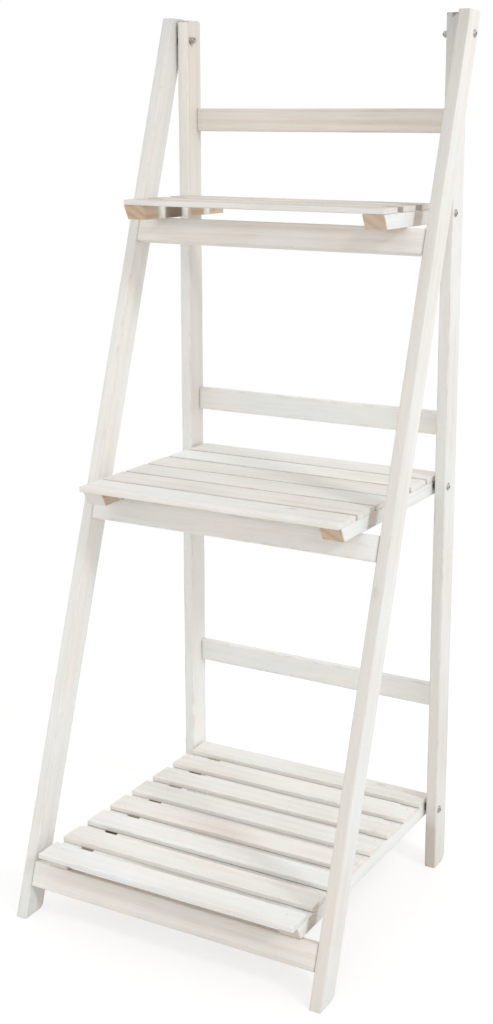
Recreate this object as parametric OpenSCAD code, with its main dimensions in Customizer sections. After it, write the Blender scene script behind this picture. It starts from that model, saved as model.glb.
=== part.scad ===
// Folding plant ladder stand.
//
// A front frame leans back against a rear frame that stands nearly upright.
// Three slatted shelves hang between them on bolts through the rear legs and
// rest on the rails of the front frame. The front frame swings about the two
// top bolts, each shelf about its own two bolts, so that all of it folds flat.
//
// Millimetres. X to the right, Y to the back, Z up. The origin is on the floor
// under the middle of the stand. A name that ends in _y or _z is a distance
// behind the front edge of the front feet, or above the floor.

/* [Overall size] */
// Width over the front stiles
width = 430; // [340:5:600]
// Height of the front stiles
height = 1115; // [1060:5:1250]
// Depth over the feet
depth = 410; // [395:5:450]
// Forward lean of the rear legs, in degrees
rear_lean = 0.6; // [0:0.1:1.2]

/* [Timber] */
// Thickness of the stiles and legs
stock_thickness = 15; // [13:0.5:20]
// Width of the stiles and legs
stock_width = 34; // [32:1:40]
// Height of the front rails
front_rail_height = 31.5; // [24:0.5:34]
// Thickness of the front rails
front_rail_thickness = 14; // [11:0.5:14]
// Height of the rear rails
rear_rail_height = 30; // [24:1:36]
// Thickness of the rear rails
rear_rail_thickness = 11; // [9:0.5:11]
// Radius of the rounded corner at the back of each foot
foot_radius = 14; // [2:1:16]
// Radius of the rounded corner at the back of each top end
top_radius = 7; // [2:1:12]
// Radius of the eased long edges
edge_radius = 1.5; // [0.5:0.5:2.5]
// Radius of the eased edges of the slats
slat_edge_radius = 1; // [0.5:0.5:2]

/* [Rear rails] */
// Distance of the top rear rail's middle below the top of the stiles
top_rail_drop = 130; // [95:5:150]
// Height of the middle rear rail's middle above the middle shelf
middle_rail_rise = 65; // [50:1:120]
// Height of the bottom rear rail's middle above the bottom shelf
bottom_rail_rise = 141; // [85:1:230]

/* [Shelves] */
// Thickness of the slats
slat_thickness = 7; // [6:0.5:9]
// Height of the runners under the slats
runner_height = 18; // [17:0.5:20]
// Width of the runners
runner_width = 28; // [20:1:32]
// How far the slanted nose of a runner leans back from top to bottom
nose_slant = 10; // [0:1:14]
// How far the runners of the lower shelves reach behind their bolts
runner_tail = 13; // [10:1:16]

/* [Top shelf] */
// Distance of its slats below the top of the stiles
top_shelf_drop = 228; // [215:1:245]
// Reach of its front edge ahead of the front rail
top_overhang = 70; // [40:2:90]
// Number of slats
top_slats = 3; // [2:1:3]
// Width of each slat
top_slat_width = 38; // [30:1:40]
// Gap between slats
top_slat_gap = 16; // [8:1:18]
// Setback of its runner noses behind the front edge
top_nose_setback = 0; // [0:1:8]
// How far its runners reach behind their bolts
top_runner_tail = 28; // [10:1:28]

/* [Middle shelf] */
// Level of its slats
middle_level = 541; // [531:1:546]
// Reach of its front edge ahead of the front rail
middle_overhang = 64; // [50:2:70]
// Number of slats
middle_slats = 6; // [4:1:6]
// Width of each slat
middle_slat_width = 46; // [38:1:46]
// Gap between slats
middle_slat_gap = 5; // [3:0.5:6]
// Setback of its runner noses behind the front edge
middle_nose_setback = 7; // [2:1:10]

/* [Bottom shelf] */
// Level of its slats
bottom_level = 95; // [92:1:102]
// Reach of its front edge ahead of the front rail
bottom_overhang = 21; // [10:1:22]
// Number of slats
bottom_slats = 8; // [6:1:8]
// Width of each slat
bottom_slat_width = 37; // [30:1:37]
// Gap between slats
bottom_slat_gap = 14.5; // [10:0.5:15]
// Setback of its runner noses behind the front edge
bottom_nose_setback = 11; // [9:1:14]

/* [Fasteners] */
// Diameter of the bolts
bolt_diameter = 5; // [4:0.5:6]
// Radial play of a part that turns on a bolt
pivot_play = 0.08; // [0.02:0.01:0.1]
// Distance of each bolt from the edge of the timber it goes through
bolt_inset = 9.5; // [9:0.5:11]
// Distance of the top bolts below the top of the stiles
top_bolt_drop = 28; // [20:1:40]
// Diameter of the dowels in the frame joints
dowel_diameter = 6; // [4:0.5:6]

/* [Hidden] */
$fn = 48;

// How far a cutting shape stands proud of what it cuts
cut_room = 1;
// How far behind a board the roundings of its back corners run out
corner_runout = 0.5;

// Fixed sizes of the fasteners
bolt_radius = bolt_diameter / 2;
head_radius = 5.2;
head_height = 2.3;
head_dome_radius = 7.5;
socket_across = 3;
socket_depth = 1.4;
nut_across = 1.6 * bolt_diameter;
nut_height = 0.9 * bolt_diameter;
washer_radius = 5;
washer_thickness = 1.2;
thread_end = 1.5;
dowel_in_upright = 10;
dowel_in_rail = 20;
dowel_end_room = 1;
brad_radius = 0.7;
brad_head_radius = 1.2;
brad_head_height = 0.8;
brad_length = 20;
brad_from_edge = 6;
brad_from_nose = 2;
brad_from_bolt = bolt_radius + 3;
brad_spread = 12;

// Room between a runner and the front rail it rests on
seat_gap = 0.3;

// Positions across the stand
frame_gap = 3;
shelf_gap = 4;
stile_outer = width / 2;
stile_inner = stile_outer - stock_thickness;
leg_outer = stile_inner - frame_gap;
leg_inner = leg_outer - stock_thickness;
shelf_end = leg_inner - shelf_gap;
runner_inner = shelf_end - runner_width;

// Levels that go with the top of the stiles or with a shelf; the legs end just
// under the tops of the stiles
leg_top_z = height - 2;
top_level = height - top_shelf_drop;
top_rail_z = height - top_rail_drop;
middle_rail_z = middle_level + middle_rail_rise;
bottom_rail_z = bottom_level + bottom_rail_rise;

// Depth of a leg's level cut, and its front and bolt lines at a level z
leg_cut = stock_width / cos(rear_lean);
function leg_front_y(z) = depth - leg_cut - z * tan(rear_lean);
function bolt_y(z) = leg_front_y(z) + bolt_inset / cos(rear_lean);

// The stiles lean so that their front edge meets the floor at zero and the
// top bolts lie one inset in front of their back edge.
top_bolt_z = height - top_bolt_drop;
top_bolt_y = bolt_y(top_bolt_z);
front_lean = atan2(top_bolt_y, top_bolt_z)
  - asin((stock_width - bolt_inset) / norm([top_bolt_y, top_bolt_z]));
function stile_front_y(z) = z * tan(front_lean);

// One list per shelf, read by the functions below
top_shelf = [
  top_level, top_overhang, top_slats,
  top_slat_width, top_slat_gap, top_nose_setback, top_runner_tail
];
middle_shelf = [
  middle_level, middle_overhang, middle_slats,
  middle_slat_width, middle_slat_gap, middle_nose_setback, runner_tail
];
bottom_shelf = [
  bottom_level, bottom_overhang, bottom_slats,
  bottom_slat_width, bottom_slat_gap, bottom_nose_setback, runner_tail
];
function shelf_top(shelf) = shelf[0];
function overhang(shelf) = shelf[1];
function slat_count(shelf) = shelf[2];
function slat_width(shelf) = shelf[3];
function slat_pitch(shelf) = shelf[3] + shelf[4];
function nose_y(shelf) = shelf_front_y(shelf) + shelf[5];
function tail_reach(shelf) = shelf[6];

// Levels in a shelf: the runners carry the slats and stand on a front rail
function runner_top(shelf) = shelf_top(shelf) - slat_thickness;
function runner_bottom(shelf) = runner_top(shelf) - runner_height;
function shelf_bolt_z(shelf) = (shelf_top(shelf) + runner_bottom(shelf)) / 2;
function shelf_front_y(shelf) = stile_front_y(runner_bottom(shelf)) - overhang(shelf);
function slat_front_y(shelf, number) = shelf_front_y(shelf) + (number - 1) * slat_pitch(shelf);
function slats_back_y(shelf) = slat_front_y(shelf, slat_count(shelf)) + slat_width(shelf);
function runner_back_y(shelf) =
  max(slats_back_y(shelf), bolt_y(shelf_bolt_z(shelf)) + tail_reach(shelf));
// Distance along the stiles to the top of the front rail under a shelf. The
// eased front edge of the leaning rail comes up to one seat gap under the runners.
function front_rail_top(shelf) =
  (runner_bottom(shelf) - seat_gap + edge_radius * (cos(front_lean) + sin(front_lean) - 1))
  / cos(front_lean);
// A brad that would meet the bolt of its runner stands clear of it instead, and
// one that would come out of the slanted nose stands behind it
function clear_of_bolt(y, bolt) =
  abs(y - bolt) >= brad_from_bolt ? y : bolt + (y < bolt ? -1 : 1) * brad_from_bolt;
function brad_y(shelf, y) =
  max(nose_y(shelf) + nose_slant + brad_from_nose, clear_of_bolt(y, bolt_y(shelf_bolt_z(shelf))));

all_shelves = [top_shelf, middle_shelf, bottom_shelf];
rear_rail_levels = [top_rail_z, middle_rail_z, bottom_rail_z];

painted_wood = [0.93, 0.91, 0.88];
bare_wood = [0.80, 0.66, 0.48];
dark_steel = [0.36, 0.35, 0.35];

// ---- Placing ----

// Children drawn with Y measured from the front feet
module on_floor() {
  translate([0, -depth / 2, 0]) children();
}

// Children drawn with Z along the stiles and Y in from their front faces
module in_front_frame() {
  on_floor() rotate([-front_lean, 0, 0]) children();
}

// Children drawn with Z along the legs and Y in from their front faces
module in_rear_frame() {
  on_floor() translate([0, leg_front_y(0), 0]) rotate([rear_lean, 0, 0]) children();
}

// The child and its mirror image on the other side of the stand
module on_both_sides() {
  children();
  mirror([1, 0, 0]) children();
}

// A flat outline drawn in Y and Z, made thick from one X to another
module across(from_x, to_x) {
  translate([from_x, 0, 0]) rotate([90, 0, 90]) linear_extrude(to_x - from_x) children();
}

// A round bar along X
module pin(from_x, to_x, radius) {
  across(from_x, to_x) circle(r = radius);
}

// ---- Outlines ----

// Points of an arc round a centre
function arc(centre, radius, from, to, steps = 12) =
  [for (i = [0:steps])
    let (angle = from + (to - from) * i / steps)
    centre + radius * [cos(angle), sin(angle)]];

// Side view of what is left of a leaning board once its ends are cut level and
// its two back corners are rounded. The front corner of the board stands at the
// origin. The roundings run out a little behind the board, so that they meet
// its back face in a crisp line.
module board_outline(lean, top_z) {
  cut = (stock_width + corner_runout) / cos(lean);
  foot_centre = [
    cut + foot_radius * tan(lean) - foot_radius / cos(lean),
    foot_radius
  ];
  top_centre = [
    cut + (top_z - top_radius) * tan(lean) - top_radius / cos(lean),
    top_z - top_radius
  ];
  polygon(concat(
    [[-stock_width, 0]],
    arc(foot_centre, foot_radius, -90, -lean),
    arc(top_centre, top_radius, -lean, 90),
    [[top_z * tan(lean) - stock_width, top_z]]
  ));
}

// A rectangle with eased corners, one corner at the origin
module eased_rectangle(size, radius) {
  translate([radius, 0]) square(size - [2 * radius, 0]);
  translate([0, radius]) square(size - [0, 2 * radius]);
  for (x = [radius, size.x - radius], y = [radius, size.y - radius])
    translate([x, y]) circle(r = radius);
}

// ---- Frames ----

// A leaning board for the right side, with its long edges eased
module board(outer_x, lean, top_z) {
  inner_x = outer_x - stock_thickness;
  intersection() {
    across(inner_x - cut_room, outer_x + cut_room) board_outline(lean, top_z);
    rotate([-lean, 0, 0])
      translate([inner_x, 0, -stock_width])
      linear_extrude(2 * stock_width + top_z / cos(lean))
      eased_rectangle([stock_thickness, stock_width], edge_radius);
  }
}

module stile() {
  color(painted_wood)
  difference() {
    on_floor() board(stile_outer, front_lean, height);
    on_floor() translate([0, top_bolt_y, top_bolt_z])
      pin(stile_inner - cut_room, stile_outer + cut_room, bolt_radius + pivot_play);
    front_dowel_rows(0);
  }
}

module leg() {
  color(painted_wood)
  difference() {
    on_floor() translate([0, leg_front_y(0), 0]) board(leg_outer, -rear_lean, leg_top_z);
    for (z = concat([top_bolt_z], [for (shelf = all_shelves) shelf_bolt_z(shelf)]))
      on_floor() translate([0, bolt_y(z), z])
        pin(leg_inner - cut_room, leg_outer + cut_room, bolt_radius);
    rear_dowel_rows(0);
  }
}

// A rail between two uprights, one corner of its section at the origin
module rail(half_length, height, thickness) {
  across(-half_length, half_length) eased_rectangle([thickness, height], edge_radius);
}

module front_rail(shelf) {
  color(painted_wood)
  difference() {
    in_front_frame()
      translate([0, 0, front_rail_top(shelf) - front_rail_height])
      rail(stile_inner, front_rail_height, front_rail_thickness);
    front_dowel_rows(dowel_end_room);
  }
}

module rear_rail(level_z) {
  color(painted_wood)
  difference() {
    in_rear_frame()
      translate([0, stock_width - rear_rail_thickness, level_z - rear_rail_height / 2])
      rail(leg_inner, rear_rail_height, rear_rail_thickness);
    rear_dowel_rows(dowel_end_room);
  }
}

// Two dowels one above the other in a joint at inner_x. Their holes in the
// rails are longer by room.
module dowel_pair(inner_x, rail_height, room) {
  for (z = [-1, 1] * rail_height / 4)
    translate([0, 0, z])
    pin(inner_x - dowel_in_rail - room, inner_x + dowel_in_upright, dowel_diameter / 2);
}

module front_dowel_rows(room) {
  for (shelf = all_shelves)
    on_both_sides() in_front_frame()
      translate([0, front_rail_thickness / 2, front_rail_top(shelf) - front_rail_height / 2])
      dowel_pair(stile_inner, front_rail_height, room);
}

module rear_dowel_rows(room) {
  for (level_z = rear_rail_levels)
    on_both_sides() in_rear_frame()
      translate([0, stock_width - rear_rail_thickness / 2, level_z])
      dowel_pair(leg_inner, rear_rail_height, room);
}

// ---- Shelves ----

// Side view of a runner: a level bar with a nose that slants back at the bottom
module runner_outline(shelf) {
  polygon([
    [nose_y(shelf), runner_top(shelf)],
    [nose_y(shelf) + nose_slant, runner_bottom(shelf)],
    [runner_back_y(shelf), runner_bottom(shelf)],
    [runner_back_y(shelf), runner_top(shelf)]
  ]);
}

// The runner on the right side
module runner(shelf) {
  bolt_z = shelf_bolt_z(shelf);
  color(painted_wood)
  difference() {
    on_floor() across(runner_inner, shelf_end) runner_outline(shelf);
    on_floor() translate([0, bolt_y(bolt_z), bolt_z])
      pin(runner_inner - cut_room, shelf_end + cut_room, bolt_radius + pivot_play);
    shelf_brads(shelf);
  }
}

module slat(shelf, number) {
  color(painted_wood)
  difference() {
    on_floor()
      translate([0, slat_front_y(shelf, number), runner_top(shelf)])
      across(-shelf_end, shelf_end)
      eased_rectangle([slat_width(shelf), slat_thickness], slat_edge_radius);
    shelf_brads(shelf);
  }
}

// A small-headed nail driven in from above, its head level with z = 0
module brad() {
  rotate_extrude() {
    translate([0, -brad_length]) square([brad_radius, brad_length]);
    translate([0, -brad_head_height]) square([brad_head_radius, brad_head_height]);
  }
}

// Two brads where each slat crosses each runner, near opposite edges of the slat
module shelf_brads(shelf) {
  middle_x = shelf_end - runner_width / 2;
  for (number = [1:slat_count(shelf)], side = [0, 1]) {
    edge = side == 0 ? brad_from_edge : slat_width(shelf) - brad_from_edge;
    y = brad_y(shelf, slat_front_y(shelf, number) + edge);
    on_both_sides() on_floor()
      translate([middle_x + (side - 0.5) * brad_spread, y, shelf_top(shelf)]) brad();
  }
}

// ---- Fasteners ----

// Places the child at the bolts of all shelves on both sides
module at_shelf_bolts() {
  for (shelf = all_shelves)
    on_both_sides() on_floor()
      translate([0, bolt_y(shelf_bolt_z(shelf)), shelf_bolt_z(shelf)]) children();
}

module at_top_bolts() {
  on_both_sides() on_floor() translate([0, top_bolt_y, top_bolt_z]) children();
}

// Low domed head that stands on its flat side at outer_x, with a hex socket
module button_head(outer_x) {
  translate([outer_x, 0, 0]) rotate([0, 90, 0])
  difference() {
    intersection() {
      cylinder(r = head_radius, h = head_height);
      translate([0, 0, head_height - head_dome_radius]) sphere(r = head_dome_radius);
    }
    translate([0, 0, head_height - socket_depth])
      cylinder(d = socket_across / cos(30), h = socket_depth + cut_room, $fn = 6);
  }
}

// A bolt from its head at outer_x to a nut on the face at nut_x
module bolt(outer_x, nut_x) {
  end_x = nut_x - washer_thickness - nut_height - thread_end;
  union() {
    button_head(outer_x);
    pin(end_x, outer_x + head_height / 2 - socket_depth / 2, bolt_radius);
  }
}

// A flat ring round a bolt, from one X to another
module ring(from_x, to_x, radius) {
  across(from_x, to_x)
  difference() {
    circle(r = radius);
    circle(r = bolt_radius);
  }
}

module washer(nut_x) {
  ring(nut_x - washer_thickness, nut_x, washer_radius);
}

// A hex nut whose corners are turned off at the outer face
module nut(nut_x) {
  seat_x = nut_x - washer_thickness;
  corner_radius = nut_across / 2 / cos(30);
  difference() {
    across(seat_x - nut_height, seat_x) circle(r = corner_radius, $fn = 6);
    pin(seat_x - nut_height - cut_room, seat_x + cut_room, bolt_radius);
    translate([seat_x - nut_height, 0, 0]) rotate([0, 90, 0])
      rotate_extrude() polygon([
        [nut_across / 2, 0],
        [nut_across / 2, -cut_room],
        [corner_radius + cut_room, -cut_room],
        [corner_radius + cut_room, (corner_radius + cut_room - nut_across / 2) * tan(30)]
      ]);
  }
}

module top_bolts() {
  color(dark_steel) at_top_bolts() bolt(stile_outer, leg_inner);
}

module shelf_bolts() {
  color(dark_steel) at_shelf_bolts() bolt(leg_outer, runner_inner);
}

module frame_spacers() {
  color(dark_steel) at_top_bolts() ring(leg_outer, stile_inner, washer_radius + 1);
}

module shelf_spacers() {
  color(dark_steel) at_shelf_bolts() ring(shelf_end, leg_inner, washer_radius);
}

module washers() {
  color(dark_steel) {
    at_top_bolts() washer(leg_inner);
    at_shelf_bolts() washer(runner_inner);
  }
}

module nuts() {
  color(dark_steel) {
    at_top_bolts() nut(leg_inner);
    at_shelf_bolts() nut(runner_inner);
  }
}

mirror([1, 0, 0]) stile();  // front_stile_left
stile();  // front_stile_right
front_rail(top_shelf);  // front_rail_top
front_rail(middle_shelf);  // front_rail_middle
front_rail(bottom_shelf);  // front_rail_bottom
color(bare_wood) front_dowel_rows(0);  // front_dowels
mirror([1, 0, 0]) leg();  // rear_leg_left
leg();  // rear_leg_right
rear_rail(top_rail_z);  // rear_rail_top
rear_rail(middle_rail_z);  // rear_rail_middle
rear_rail(bottom_rail_z);  // rear_rail_bottom
color(bare_wood) rear_dowel_rows(0);  // rear_dowels
mirror([1, 0, 0]) runner(top_shelf);  // top_runner_left
runner(top_shelf);  // top_runner_right
color(dark_steel) shelf_brads(top_shelf);  // top_brads
mirror([1, 0, 0]) runner(middle_shelf);  // middle_runner_left
runner(middle_shelf);  // middle_runner_right
color(dark_steel) shelf_brads(middle_shelf);  // middle_brads
mirror([1, 0, 0]) runner(bottom_shelf);  // bottom_runner_left
runner(bottom_shelf);  // bottom_runner_right
color(dark_steel) shelf_brads(bottom_shelf);  // bottom_brads
top_bolts();
shelf_bolts();
frame_spacers();
shelf_spacers();
washers();
nuts();
for (number = [1:top_slats])
  slat(top_shelf, number);
for (number = [1:middle_slats])
  slat(middle_shelf, number);
for (number = [1:bottom_slats])
  slat(bottom_shelf, number);
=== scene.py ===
"""Dresses the folding plant ladder stand: white-washed timber, steel bolts, studio light.

Every board of the stand is a numpy surface that follows its own solid, with eased
and slightly worn edges, and carries its grain direction as an attribute. Sizes are
millimetres, named as in the part's source, and become metres in the meshes.
"""

import math
from collections import namedtuple

import bpy
import numpy as np
from mathutils import Matrix, Vector


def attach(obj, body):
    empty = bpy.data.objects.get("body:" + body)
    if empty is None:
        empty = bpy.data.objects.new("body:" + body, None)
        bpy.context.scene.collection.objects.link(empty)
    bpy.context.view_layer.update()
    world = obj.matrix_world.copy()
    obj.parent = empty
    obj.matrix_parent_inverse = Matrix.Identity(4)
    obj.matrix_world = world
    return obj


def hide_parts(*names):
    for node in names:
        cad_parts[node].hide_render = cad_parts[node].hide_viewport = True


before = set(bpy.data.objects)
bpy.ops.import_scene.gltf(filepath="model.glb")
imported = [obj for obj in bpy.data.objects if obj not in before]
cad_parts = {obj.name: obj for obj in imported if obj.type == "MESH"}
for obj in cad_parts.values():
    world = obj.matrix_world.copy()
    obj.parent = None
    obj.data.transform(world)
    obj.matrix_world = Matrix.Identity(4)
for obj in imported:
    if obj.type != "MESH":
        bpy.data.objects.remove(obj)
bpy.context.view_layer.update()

MM = 0.001

# ---- Sizes of the stand ----

WIDTH = 430.0
HEIGHT = 1115.0
DEPTH = 410.0
REAR_LEAN = math.radians(0.6)
STOCK_THICKNESS = 15.0
STOCK_WIDTH = 34.0
FRONT_RAIL_HEIGHT = 31.5
FRONT_RAIL_THICKNESS = 14.0
REAR_RAIL_HEIGHT = 30.0
REAR_RAIL_THICKNESS = 11.0
FOOT_RADIUS = 14.0
TOP_RADIUS = 7.0
EDGE_RADIUS = 1.5
RUNNER_EDGE_RADIUS = 1.0
SLAT_EDGE_RADIUS = 1.0
CORNER_RUNOUT = 0.5
SLAT_THICKNESS = 7.0
RUNNER_HEIGHT = 18.0
RUNNER_WIDTH = 28.0
NOSE_SLANT = 10.0
BOLT_INSET = 9.5
THREAD_PITCH = 0.8
TOP_BOLT_DROP = 28.0
FRAME_GAP = 3.0
SHELF_GAP = 4.0
SEAT_GAP = 0.3
SHELF_LEVELS = {"top": HEIGHT - 228, "middle": 541, "bottom": 95}
REAR_RAIL_LEVELS = {
    "top": HEIGHT - 130,
    "middle": SHELF_LEVELS["middle"] + 65,
    "bottom": SHELF_LEVELS["bottom"] + 141,
}

STILE_OUTER = WIDTH / 2
STILE_INNER = STILE_OUTER - STOCK_THICKNESS
LEG_OUTER = STILE_INNER - FRAME_GAP
LEG_INNER = LEG_OUTER - STOCK_THICKNESS
SHELF_END = LEG_INNER - SHELF_GAP
LEG_TOP = HEIGHT - 2

LEG_CUT = STOCK_WIDTH / math.cos(REAR_LEAN)
TOP_BOLT_Z = HEIGHT - TOP_BOLT_DROP


def leg_front_y(z):
    """Y of the front edge of a leg at level z, from the front feet."""
    return DEPTH - LEG_CUT - z * math.tan(REAR_LEAN)


def bolt_y(z):
    """Y of the bolts through the legs at level z."""
    return leg_front_y(z) + BOLT_INSET / math.cos(REAR_LEAN)


TOP_BOLT_Y = bolt_y(TOP_BOLT_Z)
FRONT_LEAN = math.atan2(TOP_BOLT_Y, TOP_BOLT_Z) - math.asin(
    (STOCK_WIDTH - BOLT_INSET) / math.hypot(TOP_BOLT_Y, TOP_BOLT_Z)
)


class Shelf:
    """Places of the parts of one shelf, worked out from its level, reach and slats."""

    def __init__(self, name, overhang, slats, slat_width, slat_gap, setback, tail):
        self.name = name
        self.body = f"{name}_shelf"
        self.level = SHELF_LEVELS[name]
        self.slats = slats
        self.slat_width = slat_width
        self.runner_top = self.level - SLAT_THICKNESS
        self.runner_bottom = self.runner_top - RUNNER_HEIGHT
        self.front_y = self.runner_bottom * math.tan(FRONT_LEAN) - overhang
        self.pitch = slat_width + slat_gap
        self.nose_y = self.front_y + setback
        bolt_z = (self.level + self.runner_bottom) / 2
        slats_back = self.slat_front(slats) + slat_width
        self.back_y = max(slats_back, bolt_y(bolt_z) + tail)
        eased = EDGE_RADIUS * (math.cos(FRONT_LEAN) + math.sin(FRONT_LEAN) - 1)
        self.rail_top = (self.runner_bottom - SEAT_GAP + eased) / math.cos(FRONT_LEAN)

    def slat_front(self, number):
        """Y of the front edge of a slat, counted from one at the front."""
        return self.front_y + (number - 1) * self.pitch


SHELVES = [
    Shelf("top", overhang=70, slats=3, slat_width=38, slat_gap=16, setback=0, tail=28),
    Shelf("middle", overhang=64, slats=6, slat_width=46, slat_gap=5, setback=7, tail=13),
    Shelf("bottom", overhang=21, slats=8, slat_width=37, slat_gap=14.5, setback=11, tail=13),
]

# ---- Board surfaces ----

# About how far apart points lie along, across and through a board
ROW_STEP = 6.0
WIDE_STEP = 6.0
THIN_STEP = 5.0
CORNER_STEPS = 5
SMALLEST_ARC = 0.1
# The quarter round between a cut and the sides, and the distance of the next row
END_EASING = 0.7
RIM_ROWS = 4
RIM_SUPPORT = 1.5
# Sizes of the rings that close a cut, as shares of the section
CAP_SCALES = np.array([0.15, 0.35, 0.55, 0.7, 0.8, 0.88, 0.94, 0.98])
# Easing of the long edges in radii, and the lengths and the shift of its drift's waves
EASING_MEAN = 1.15
EASING_DRIFT = 0.3
EASING_WAVES = (70.0, 31.0)
EASING_SHIFT = 6.0
# The waves of a planed face: lengths, depths, and turns round the section
WAVE_LENGTHS = np.array([310.0, 137.0, 61.0, 23.0])
WAVE_DEPTHS = np.array([0.07, 0.05, 0.03, 0.015])
WAVE_TURNS = np.array([1, 2, 1, 3])
# Dents at the long edges: their spacing, lengths, depths, and narrowness round the edge
DENT_SPACING = 90
DENT_LENGTHS = (1.5, 6.0)
DENT_DEPTHS = (0.15, 0.6)
DENT_NARROWNESS = 8
# How far from an edge the rubbed wash reaches
EDGE_REACH = 5.0
# The usual thinness of the wash, from thick to thin, and tint, from cool to warm
THIN_RANGE = (-0.1, 0.15)
TINT_RANGE = (-0.5, 0.5)
# Where in a log a board's grain may start, in metres along, across and through
HOME_LOW = [-0.3, 0.05, 0.03]
HOME_HIGH = [0.3, 0.09, 0.06]


def fade(distance, full, gone):
    """One up to the distance called full, then evenly down to nought at that called gone."""
    return np.clip((gone - distance) / (gone - full), 0, 1)


def even_steps(length, step):
    """Fractions between 0 and 1 that cut a length into even steps, ends left out."""
    count = max(2, round(length / step))
    return np.arange(1, count) / count


def section(half_width, half_thickness, radius, inset, wide_steps, thin_steps):
    """Rows of points (w, t) round a rectangle with rounded corners.

    Each corner is an arc: its centre plus radius times (cos, sin) of an angle that
    runs through a quarter turn. Straight sides join one arc's end to the next arc's
    start. An inset makes the half sizes and the radius smaller by itself. Radius and
    inset are columns, one value a row. Also gives each point's outward normal angle
    and its distance from the nearest corner arc.
    """
    half_w = half_width - inset
    half_t = half_thickness - inset
    arc_radius = np.maximum(radius - inset, SMALLEST_ARC)
    turns = np.linspace(0, np.pi / 2, CORNER_STEPS + 1)
    signs = [(1, 1), (-1, 1), (-1, -1), (1, -1)]
    corners = []
    for quarter, (sign_w, sign_t) in enumerate(signs):
        angle = turns + quarter * np.pi / 2
        corner_w = sign_w * (half_w - arc_radius) + arc_radius * np.cos(angle)
        corner_t = sign_t * (half_t - arc_radius) + arc_radius * np.sin(angle)
        corners.append((corner_w, corner_t, angle))
    # The wide sides run from the corner with w > 0 to the one with w < 0 and back,
    # and their steps crowd towards w > 0 where they crowd at all.
    sides = [1 - wide_steps[::-1], thin_steps, wide_steps, thin_steps]
    all_w, all_t, all_angle, all_gap = [], [], [], []
    for quarter, (corner_w, corner_t, angle) in enumerate(corners):
        next_w, next_t, _ = corners[(quarter + 1) % 4]
        part = sides[quarter]
        length = 2 * (half_width if quarter % 2 == 0 else half_thickness)
        all_w += [corner_w, corner_w[:, -1:] * (1 - part) + next_w[:, :1] * part]
        all_t += [corner_t, corner_t[:, -1:] * (1 - part) + next_t[:, :1] * part]
        all_angle += [angle, np.full(len(part), angle[-1])]
        all_gap += [np.zeros(len(angle)), length * np.minimum(part, 1 - part)]
    return np.hstack(all_w), np.hstack(all_t), np.concatenate(all_angle), np.concatenate(all_gap)


def wear(rng, along, angle):
    """How far the surface lies under the planed board, in millimetres.

    The sum of four sine waves along the board, each turned by a whole number of
    turns of the outward normal, so that it closes round the section, plus a few
    narrow bell-shaped dents at the long edges.
    """
    depth = np.zeros(np.broadcast(along, angle).shape)
    phases = rng.uniform(0, 2 * np.pi, 4)
    for length, height, turn, phase in zip(WAVE_LENGTHS, WAVE_DEPTHS, WAVE_TURNS, phases):
        depth += height * (1 + np.sin(2 * np.pi * along / length + turn * angle + phase)) / 2
    dents = max(2, int(np.ptp(along) / DENT_SPACING))
    places = rng.uniform(along.min(), along.max(), dents)
    lengths = rng.uniform(*DENT_LENGTHS, dents)
    depths = rng.uniform(*DENT_DEPTHS, dents)
    edges = rng.integers(0, 4, dents) * np.pi / 2 + np.pi / 4
    for place, length, deep, edge in zip(places, lengths, depths, edges):
        beside = np.cos(angle - edge).clip(0) ** DENT_NARROWNESS
        depth += deep * np.exp(-((along - place) / length) ** 2) * beside
    return depth


def rows_along(length, row_step):
    """How the rows of a board are shrunk, inset, set back and placed from cut to cut.

    First come the rings of a cut, then its quarter round, the sides, and the same at
    the other cut. The place is nought at the first cut and one at the last.
    """
    quarter = np.linspace(0, np.pi / 2, RIM_ROWS)
    count = max(4, round(length / row_step))
    support = RIM_SUPPORT / length
    steps = np.concatenate([[support], np.linspace(0, 1, count + 1)[1:-1], [1 - support]])
    at_cut = len(CAP_SCALES) + RIM_ROWS

    def both_ways(cap, rim, side):
        """One value a row. The last cut has those of the first in reverse."""
        half = np.concatenate([np.broadcast_to(cap, len(CAP_SCALES)), rim])
        return np.concatenate([half, np.full(len(steps), side), half[::-1]])

    shrink = both_ways(CAP_SCALES, np.ones(RIM_ROWS), 1.0)
    inset = both_ways(END_EASING, END_EASING * (1 - np.sin(quarter)), 0.0)
    setback = both_ways(0.0, END_EASING * (1 - np.cos(quarter)), END_EASING)
    run = np.concatenate([np.zeros(at_cut), steps, np.ones(at_cut)])
    return shrink, inset, setback, run


def grid_faces(rows, columns, flipped):
    """Quads between the rows of a closed grid, and fans to its two poles, its last points."""
    here = np.arange(rows * columns).reshape(rows, columns)
    beside = np.roll(here, -1, axis=1)
    quads = np.stack([here[:-1], beside[:-1], beside[1:], here[1:]], axis=-1).reshape(-1, 4)
    pole = np.full(columns, rows * columns)
    fan_start = np.stack([pole, beside[0], here[0]], axis=-1)
    fan_end = np.stack([pole + 1, here[-1], beside[-1]], axis=-1)
    order = -1 if flipped else 1
    return quads[:, ::order].tolist() + np.vstack([fan_start, fan_end])[:, ::order].tolist()


def with_poles(grid):
    """A grid of values as one row, with the two poles' values from the rings beside them."""
    return np.concatenate([grid.ravel(), [grid[0].mean(), grid[-1].mean()]])


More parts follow.
